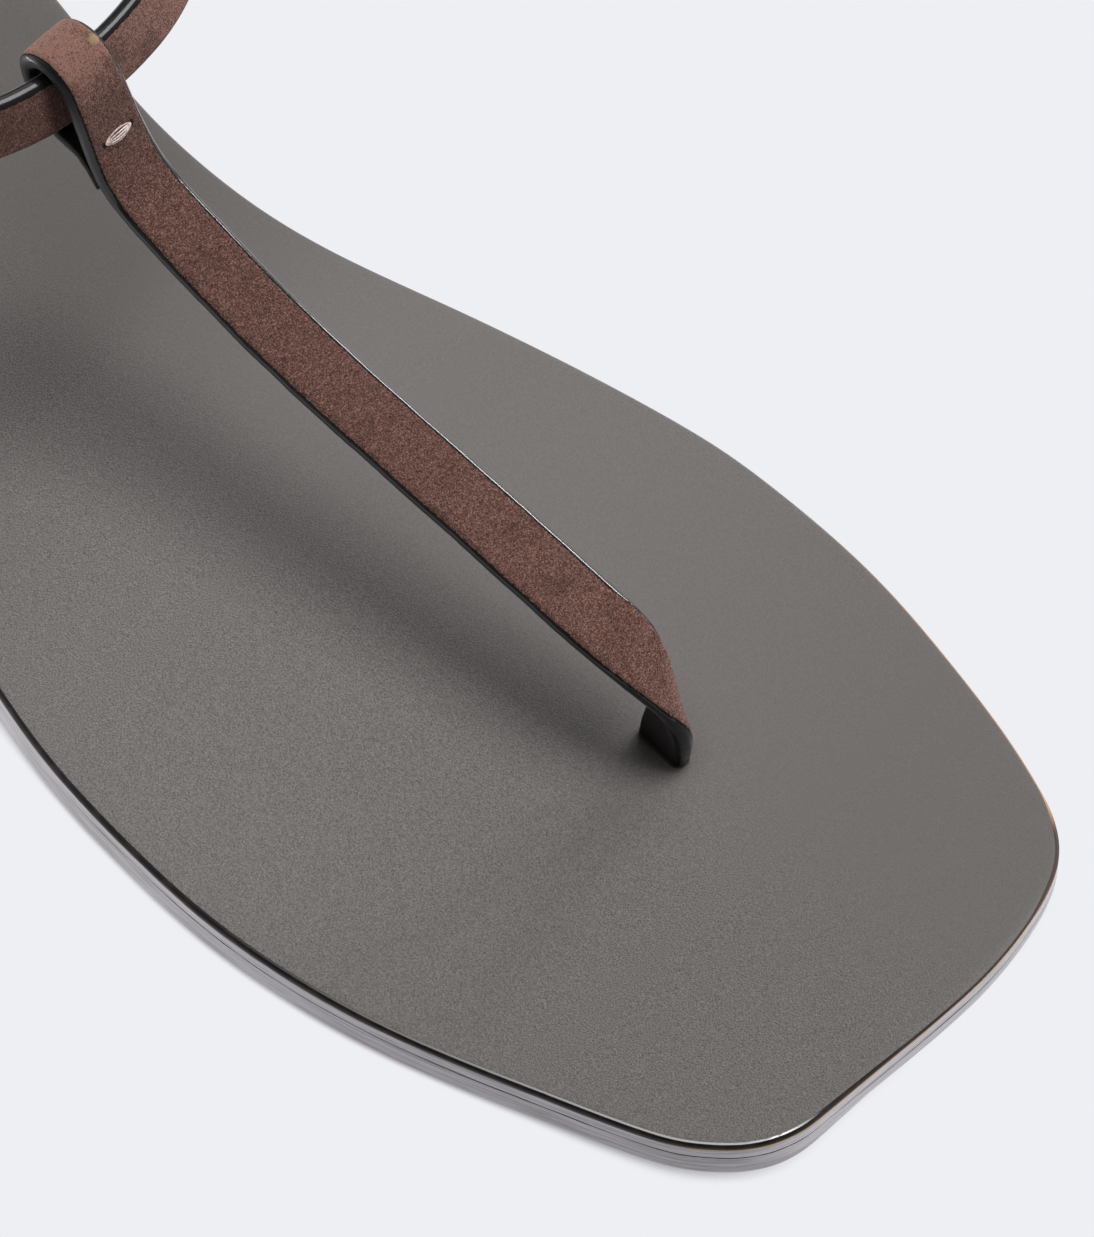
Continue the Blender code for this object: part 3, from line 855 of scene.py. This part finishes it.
def strap_suede(name, spots, slot_end, dull_from):
    """Brown suede, its painted edges with a ragged black line along the suede, and the black lining.

    Each spot has a place, a radius and a colour. A tan line shows at the end in the slot, and the paint has
    lost its gloss beyond a place along the strap.
    """
    material, tree, shader = new_material(name)
    where = object_place(tree)
    girth = attribute(tree, "girth")
    nap = add(tree, "Group", {"Place": where}, node_tree=suede_nap)
    speckle = nap.outputs["Speckle"]
    clouds = nap.outputs["Clouds"]
    # Paler nap where the suede is rubbed, with painted light on the crest of the fold and on the ankle
    # strap's inner front.
    rubbed_and_lit = math(tree, "MULTIPLY", attribute(tree, "wear_and_light"), between(tree, clouds, *RUBBED_AND_LIT_CLOUDS))
    rubbed_and_lit = math(tree, "MULTIPLY_ADD", rubbed_and_lit, RUBBED_AND_LIT_SHIFT, speckle)
    face = mix(tree, between(tree, rubbed_and_lit, *NAP_BROWN), SUEDE_DEEP, SUEDE_BROWN)
    face = mix(tree, between(tree, rubbed_and_lit, *NAP_PALE), face, SUEDE_PALE)
    cloud = between(tree, clouds, *CLOUD_DEEP)
    face = mix(tree, math(tree, "MULTIPLY", cloud, CLOUD_SHARE), face, SUEDE_DEEP)
    ragged = math(tree, "SUBTRACT", fleck(tree, where, RAG_SCALE, 3.0, 0.65), 0.5)
    reach = math(tree, "MULTIPLY_ADD", ragged, RAG_REACH, attribute(tree, "paint"))
    edge = math(tree, "SUBTRACT", girth, reach)
    paint = between(tree, edge, *PAINT_DEEP)
    fray = math(tree, "MULTIPLY", between(tree, edge, *FRAY_OUTSIDE), between(tree, edge, *FRAY_INSIDE))
    lining = between(tree, math(tree, "MULTIPLY_ADD", ragged, LINING_RAG, girth), *LINING_FROM)
    face = mix(tree, paint, face, PAINT_BLACK)
    face = mix(tree, fray, face, FRAY_BLACK)
    back = mix(tree, between(tree, speckle, *LINING_TONES), LINING_BLACK, LINING_BROWN)
    face = mix(tree, lining, face, back)
    for spot, radius, stain in spots:
        distance = add(tree, "VectorMath", {0: where, 1: spot}, operation="DISTANCE").outputs["Value"]
        distance = math(tree, "MULTIPLY_ADD", ragged, radius * MM, distance)
        face = mix(tree, between(tree, distance, radius * MM, SPOT_CORE * radius * MM), face, stain)
    along = attribute(tree, "along")
    face = mix(tree, between(tree, along, slot_end, slot_end - SLOT_FADE), face, SLOT_TAN)
    gloss = math(tree, "SUBTRACT", paint, math(tree, "ADD", lining, fray), clamp=True)
    rough = math(tree, "MULTIPLY_ADD", gloss, -PAINT_SMOOTH, SUEDE_ROUGH)
    fresh = math(tree, "MULTIPLY", gloss, between(tree, along, dull_from + DULL_FADE, dull_from))
    dull = math(tree, "MULTIPLY", gloss, DULL_COAT)
    coat = math(tree, "MULTIPLY_ADD", fresh, FULL_COAT, dull)
    relief = math(tree, "MULTIPLY", speckle, math(tree, "MULTIPLY_ADD", gloss, -PAINT_FLAT, 1.0))
    feed(tree, shader, {"Base Color": face, "Roughness": rough, "Specular IOR Level": 0.1,
                        "Coat Weight": coat, "Coat Roughness": 0.13, "Sheen Weight": 0.1,
                        "Sheen Roughness": 0.5,
                        "Normal": bumps(tree, relief, distance=0.0003, strength=0.6)})
    return material


def toe_strap_line():
    """Sections of the toe strap: place, turn, dip, width, thickness."""
    rows = []
    for across, behind, height, turn, dip in TOE_POST:
        trim = turn / TOE_POST[0][3]
        width = STRAP_WIDTH + (POST_WIDTH - STRAP_WIDTH) * trim
        thick = RUN_THICK + (POST_THICK - RUN_THICK) * trim ** 2
        rows.append((across, behind, FOOTBED_TOP + height, turn, dip, width, thick))
    for behind, height, width, thick in TOE_STRAP_RUN:
        rows.append((0, behind, FOOTBED_TOP + height, 0, 0, width, thick))
    return smooth_curve(rows, TOE_STRAP_SECTIONS)


toe_line = toe_strap_line()
turn, dip = np.radians(toe_line[:, 3:5]).T
toe_sideways = np.stack([np.cos(turn) * np.cos(dip), np.sin(turn) * np.cos(dip), -np.sin(dip)], axis=1)
toe_strap_mesh = sweep_strap(toe_line[:, :3], toe_sideways, toe_line[:, 5], toe_line[:, 6],
                             TOE_CREASES, TOE_WEAR_AND_LIGHT, TOE_PAINT, TOE_STRAP_SEED, closed=False)

STITCH_HEIGHT = 43.4         # of the strap's middle where it is stitched, over the footbed
STITCH_HALF = 2.3
HOLE_RADIUS = 0.55
stitch_at = np.flatnonzero(toe_line[:, 2] > FOOTBED_TOP + STITCH_HEIGHT)[0]
stitch_across = toe_sideways[stitch_at]
stitch_up = toe_line[stitch_at + 1, :3] - toe_line[stitch_at - 1, :3]
stitch_up /= np.linalg.norm(stitch_up)
stitch_out = np.cross(stitch_across, stitch_up)
stitch_middle = toe_line[stitch_at, :3] + stitch_out * (STRAP_THICK / 2 + CROWN)
needle_holes = [place([stitch_middle + stitch_across * side * STITCH_HALF])[0] for side in (-1, 1)]
GLUE_SPOT = (2.9, 94.1, FOOTBED_TOP + 54.4)
GLUE_SPOT_RADIUS = 0.9
GLUE_YELLOW = colour(158, 134, 102)
TOE_SLOT_END = 1.5           # the tan line shows below this along the strap
TOE_DULL_FROM = 112          # the paint is dull behind this along the strap
strap_spots = [(hole, HOLE_RADIUS, FRAY_BLACK) for hole in needle_holes]
strap_spots.append((place([GLUE_SPOT])[0], GLUE_SPOT_RADIUS, GLUE_YELLOW))
toe_strap_finish = strap_suede("toe_strap_suede", strap_spots, TOE_SLOT_END, TOE_DULL_FROM)
toe_strap = finish_piece(toe_strap_mesh, "toe_strap_visual", toe_strap_finish)
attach(toe_strap, "root")
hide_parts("toe_strap")

# Stitched bar
# A few passes of pale thread between two needle holes close the fold. They spread like a leaf between the
# holes and stand proud of the suede.
STRANDS = 5
STRAND_RADIUS = 0.11
STRAND_SPREAD = 0.74
STRAND_RISE = 0.28
STRAND_SINK = 0.35
STRAND_FLATTEN = 0.9         # how much lower the outer strands lie
STRAND_OVERRUN = 1.04        # the strands end a little beyond the needle holes
STRAND_STEPS = 18
STRAND_SIDES = 8
stitch_mesh = bmesh.new()
for strand in np.linspace(-1, 1, STRANDS):
    ring = bmesh.ops.create_circle(stitch_mesh, segments=STRAND_SIDES, radius=STRAND_RADIUS * MM)
    ring_verts = ring["verts"]
    ring_edges = list({e for v in ring_verts for e in v.link_edges})
    basis = Matrix(np.column_stack([stitch_up, stitch_out, stitch_across]).tolist()).to_4x4()
    bmesh.ops.transform(stitch_mesh, matrix=basis, verts=ring_verts)
    first_edges = ring_edges
    crest = STRAND_RISE * np.sqrt(1 - STRAND_FLATTEN * strand ** 2)
    before = np.zeros(3)
    for share in np.linspace(-1, 1, STRAND_STEPS + 1):
        if share > -1:
            ring_verts, ring_edges = next_ring(stitch_mesh, ring_edges)
        arch = 1 - share ** 2
        swell = np.sqrt(arch)
        rise = crest * swell + STRAND_SINK * (swell - 1)
        there = stitch_middle + stitch_across * share * STITCH_HALF * STRAND_OVERRUN
        there = there + stitch_up * strand * STRAND_SPREAD * arch + stitch_out * rise
        there = place([there])[0]
        bmesh.ops.translate(stitch_mesh, verts=ring_verts, vec=there - before)
        before = there
    bmesh.ops.holes_fill(stitch_mesh, edges=first_edges + ring_edges, sides=0)

THREAD_PALE = colour(230, 214, 210)
THREAD_DEEP = colour(188, 158, 152)
TWIST_SCALE = 2200.0
TWIST_TONES = (0.40, 0.60)   # the twist of the thread turns from deep to pale between these


def stitch_thread():
    """Pale twisted thread."""
    material, tree, shader = new_material("stitch_thread")
    twist = fleck(tree, object_place(tree), TWIST_SCALE, 2.0)
    face = mix(tree, between(tree, twist, *TWIST_TONES), THREAD_DEEP, THREAD_PALE)
    feed(tree, shader, {"Base Color": face, "Roughness": 0.6,
                        "Normal": bumps(tree, twist, distance=0.00008, strength=0.6)})
    return material


stitch = finish_piece(stitch_mesh, "stitched_bar", stitch_thread())
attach(stitch, "root")

# Ankle strap
# A second strap of the same suede, lining and edge paint, a little narrower. It is threaded through the
# fold of the toe strap and goes round behind the heel as one closed band.
ANKLE_STRAP_WIDTH = 8.2
ANKLE_STRAP_SECTIONS = 640
ANKLE_STRAP_SEED = 5.3
ANKLE_DULL_FROM = 260        # beyond its end, so the paint is fresh all round
ANKLE_STRAP = [
    # across, behind, height over the footbed, lean in degrees
    (2.5, 94.7, 47.6, 21),  # front, in the fold of the toe strap
    (17.5, 96.6, 47.9, 26),
    (29.5, 105.0, 48.2, 16),
    (35.4, 125.0, 48.6, 4),  # inner side
    (33.6, 152.0, 50.2, 2),
    (23.6, 177.0, 52.0, 2),
    (5.8, 188.5, 53.0, 2),  # behind the heel
    (-11.4, 177.5, 52.0, 2),
    (-22.6, 153.0, 50.5, 2),
    (-26.8, 126.0, 50.0, 4),  # outer side
    (-23.0, 106.0, 49.4, 11),
    (-12.0, 97.0, 48.6, 16),
]
ANKLE_WEAR_AND_LIGHT = [
    # along the strap in mm, backwards from the fold, how pale the nap is there: rubbed nap, with painted
    # light on the inner front
    (0, 0.0),
    (210, 0.0),
    (226, 0.6),
    (246, 0.6),
    (252, 0.3),
]
ANKLE_PAINT = [
    # along the strap in mm, how far the paint comes on to the suede at its lower and upper edge
    (0, 0.3, 0.85),
    (252, 0.3, 0.85),
]


def inward(ring):
    """Unit normals into a closed flat ring, whichever way round it runs."""
    tangent = np.roll(ring, -1, axis=0) - np.roll(ring, 1, axis=0)
    normal = np.stack([tangent[:, 1], -tangent[:, 0]], axis=1)
    normal /= np.linalg.norm(normal, axis=1)[:, None]
    x, y = ring.T
    area = np.sum(x * np.roll(y, -1) - y * np.roll(x, -1))
    return -normal * np.sign(area)


ankle_line = smooth_curve(ANKLE_STRAP, ANKLE_STRAP_SECTIONS, closed=True)[::-1]
lean = np.radians(ankle_line[:, 3])
ankle_sideways = np.column_stack([inward(ankle_line[:, :2]) * np.sin(lean)[:, None], np.cos(lean)])
ankle_middle = ankle_line[:, :3] + (0, 0, FOOTBED_TOP)
ankle_strap_mesh = sweep_strap(ankle_middle, ankle_sideways, np.full(len(ankle_line), ANKLE_STRAP_WIDTH),
                               np.full(len(ankle_line), STRAP_THICK), [], ANKLE_WEAR_AND_LIGHT, ANKLE_PAINT,
                               ANKLE_STRAP_SEED, closed=True)
ankle_strap_finish = strap_suede("ankle_strap_suede", [], slot_end=0.0, dull_from=ANKLE_DULL_FROM)
ankle_strap = finish_piece(ankle_strap_mesh, "ankle_strap_visual", ankle_strap_finish)
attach(ankle_strap, "root")
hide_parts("ankle_strap")

# Floor
# A plain pale sweep that glows evenly, so that no lamp marks it. Only a soft narrow shadow shows where the
# sole meets it.
FLOOR_HALF_SIZE = 4.0
FLOOR_DEPTH = 0.0001         # under the sole
FLOOR_PALE = (0.855, 0.863, 0.896, 1.0)
FLOOR_SHADED = (0.34, 0.34, 0.36, 1.0)
SIDE_SHADOW = 0.0010         # how far the contact shadow reaches along the sides
TOE_SHADOW = 0.0024          # and in front of the raised toe
WAIST_SHADOW = 0.0060        # and under the raised waist
TOE_SHADOW_ALONG = (-0.08, -0.122)  # where along the part that reach starts and is full, in metres
WAIST_SHADOW_ALONG = (-0.025, 0.02)
SHADOW_TONES = (0.28, 0.80)  # open sky where the shadow is full and where it ends


def pale_floor():
    """An even glow, darker close to the sole."""
    material, tree, shader = new_material("pale_floor")
    along = add(tree, "SeparateXYZ", {0: object_place(tree)}).outputs["Y"]
    toe_part = math(tree, "MULTIPLY", between(tree, along, *TOE_SHADOW_ALONG), TOE_SHADOW - SIDE_SHADOW)
    waist_part = between(tree, along, *WAIST_SHADOW_ALONG)
    waist_part = math(tree, "MULTIPLY", waist_part, WAIST_SHADOW - SIDE_SHADOW)
    reach = math(tree, "ADD", math(tree, "ADD", toe_part, waist_part), SIDE_SHADOW)
    open_sky = add(tree, "AmbientOcclusion", {"Distance": reach}, samples=8).outputs["AO"]
    face = mix(tree, between(tree, open_sky, *SHADOW_TONES), FLOOR_SHADED, FLOOR_PALE)
    feed(tree, shader, {"Base Color": (0, 0, 0, 1), "Roughness": 1.0, "Specular IOR Level": 0.0,
                        "Emission Color": face, "Emission Strength": 1.0})
    return material


floor_mesh = bmesh.new()
bmesh.ops.create_grid(floor_mesh, x_segments=2, y_segments=2, size=FLOOR_HALF_SIZE)
bmesh.ops.translate(floor_mesh, verts=floor_mesh.verts, vec=(0, 0, -FLOOR_DEPTH))
floor = finish_piece(floor_mesh, "floor", pale_floor())

# Light
# Soft studio light: two broad lamps overhead, three lower ones on the inner side, and two strips near the
# floor that light the wall of the sole. The two lowest lamps leave that wall unlit.
LAMPS = [
    # name, azimuth from +X, elevation, strength, angle
    ("high_lamp", -15, 70, 1.98, 30),
    ("over_lamp", 105, 81, 0.75, 32),
    ("inner_lamp", 30, 36, 0.50, 40),
    ("low_lamp", 10, 14, 0.95, 11),
    ("strap_lamp", -5, 15, 0.60, 8),
]


def hang_lamp(name, kind, energy, towards):
    """A lamp of one kind. It hangs towards the direction given, and shines back along it."""
    lamp = bpy.data.objects.new(name, bpy.data.lights.new(name, kind))
    lamp.data.energy = energy
    lamp.rotation_euler = towards.to_track_quat("Z", "Y").to_euler()
    bpy.context.scene.collection.objects.link(lamp)
    return lamp


for name, azimuth, elevation, strength, angle in LAMPS:
    azimuth, elevation = np.radians([azimuth, elevation])
    level = np.cos(elevation)
    towards = Vector((level * np.cos(azimuth), level * np.sin(azimuth), np.sin(elevation)))
    lamp = hang_lamp(name, "SUN", strength, towards)
    lamp.data.angle = np.radians(angle)
walls = bpy.data.collections.new("walls_shaded_from_low_lamps")
for layer in (outsole, midsole):
    walls.objects.link(layer)
for shaded in walls.collection_objects:
    shaded.light_linking.link_state = "EXCLUDE"
for name in ("low_lamp", "strap_lamp"):
    bpy.data.objects[name].light_linking.receiver_collection = walls
STRIPS = [
    # name, place and the place that it lights, in mm, power
    ("outer_strip", (-118, 161, 3), (-43, -24, 3), 0.29),
    ("toe_strip", (138, -341, 3), (0, -124, 4), 0.33),
]
STRIP_SIZE = (0.12, 0.006)
for name, source, target, power in STRIPS:
    strip = hang_lamp(name, "AREA", power, Vector(source) - Vector(target))
    strip.location = Vector(source) * MM
    strip.data.shape = "RECTANGLE"
    strip.data.size, strip.data.size_y = STRIP_SIZE
    strip.visible_camera = False
world = bpy.data.worlds.new("studio_glow")
world.use_nodes = True
glow = world.node_tree.nodes["Background"]
glow.inputs["Color"].default_value = (0.97, 0.98, 1.0, 1.0)
glow.inputs["Strength"].default_value = 0.025
bpy.context.scene.world = world
bpy.context.scene.view_settings.view_transform = "Standard"

# Camera
# Above the outer side of the toe, looking down along the foot. A long lens from about a metre off keeps the
# perspective slight.
CAMERA_PLACE = (-396.02, -420.29, 853.67)
CAMERA_AZIMUTH = np.radians(-48)
CAMERA_ELEVATION = np.radians(57)
CAMERA_LENS = 242.4
camera_data = bpy.data.cameras.new("camera")
camera_data.lens = CAMERA_LENS
camera = bpy.data.objects.new("camera", camera_data)
bpy.context.scene.collection.objects.link(camera)
right = Vector((np.cos(CAMERA_AZIMUTH), np.sin(CAMERA_AZIMUTH), 0))
flat_back = Vector((np.sin(CAMERA_AZIMUTH), -np.cos(CAMERA_AZIMUTH), 0))
back = flat_back * np.cos(CAMERA_ELEVATION) + Vector((0, 0, np.sin(CAMERA_ELEVATION)))
up = back.cross(right)
camera.matrix_world = Matrix((right, up, back)).transposed().to_4x4()
camera.location = Vector(CAMERA_PLACE) * MM
bpy.context.scene.camera = camera
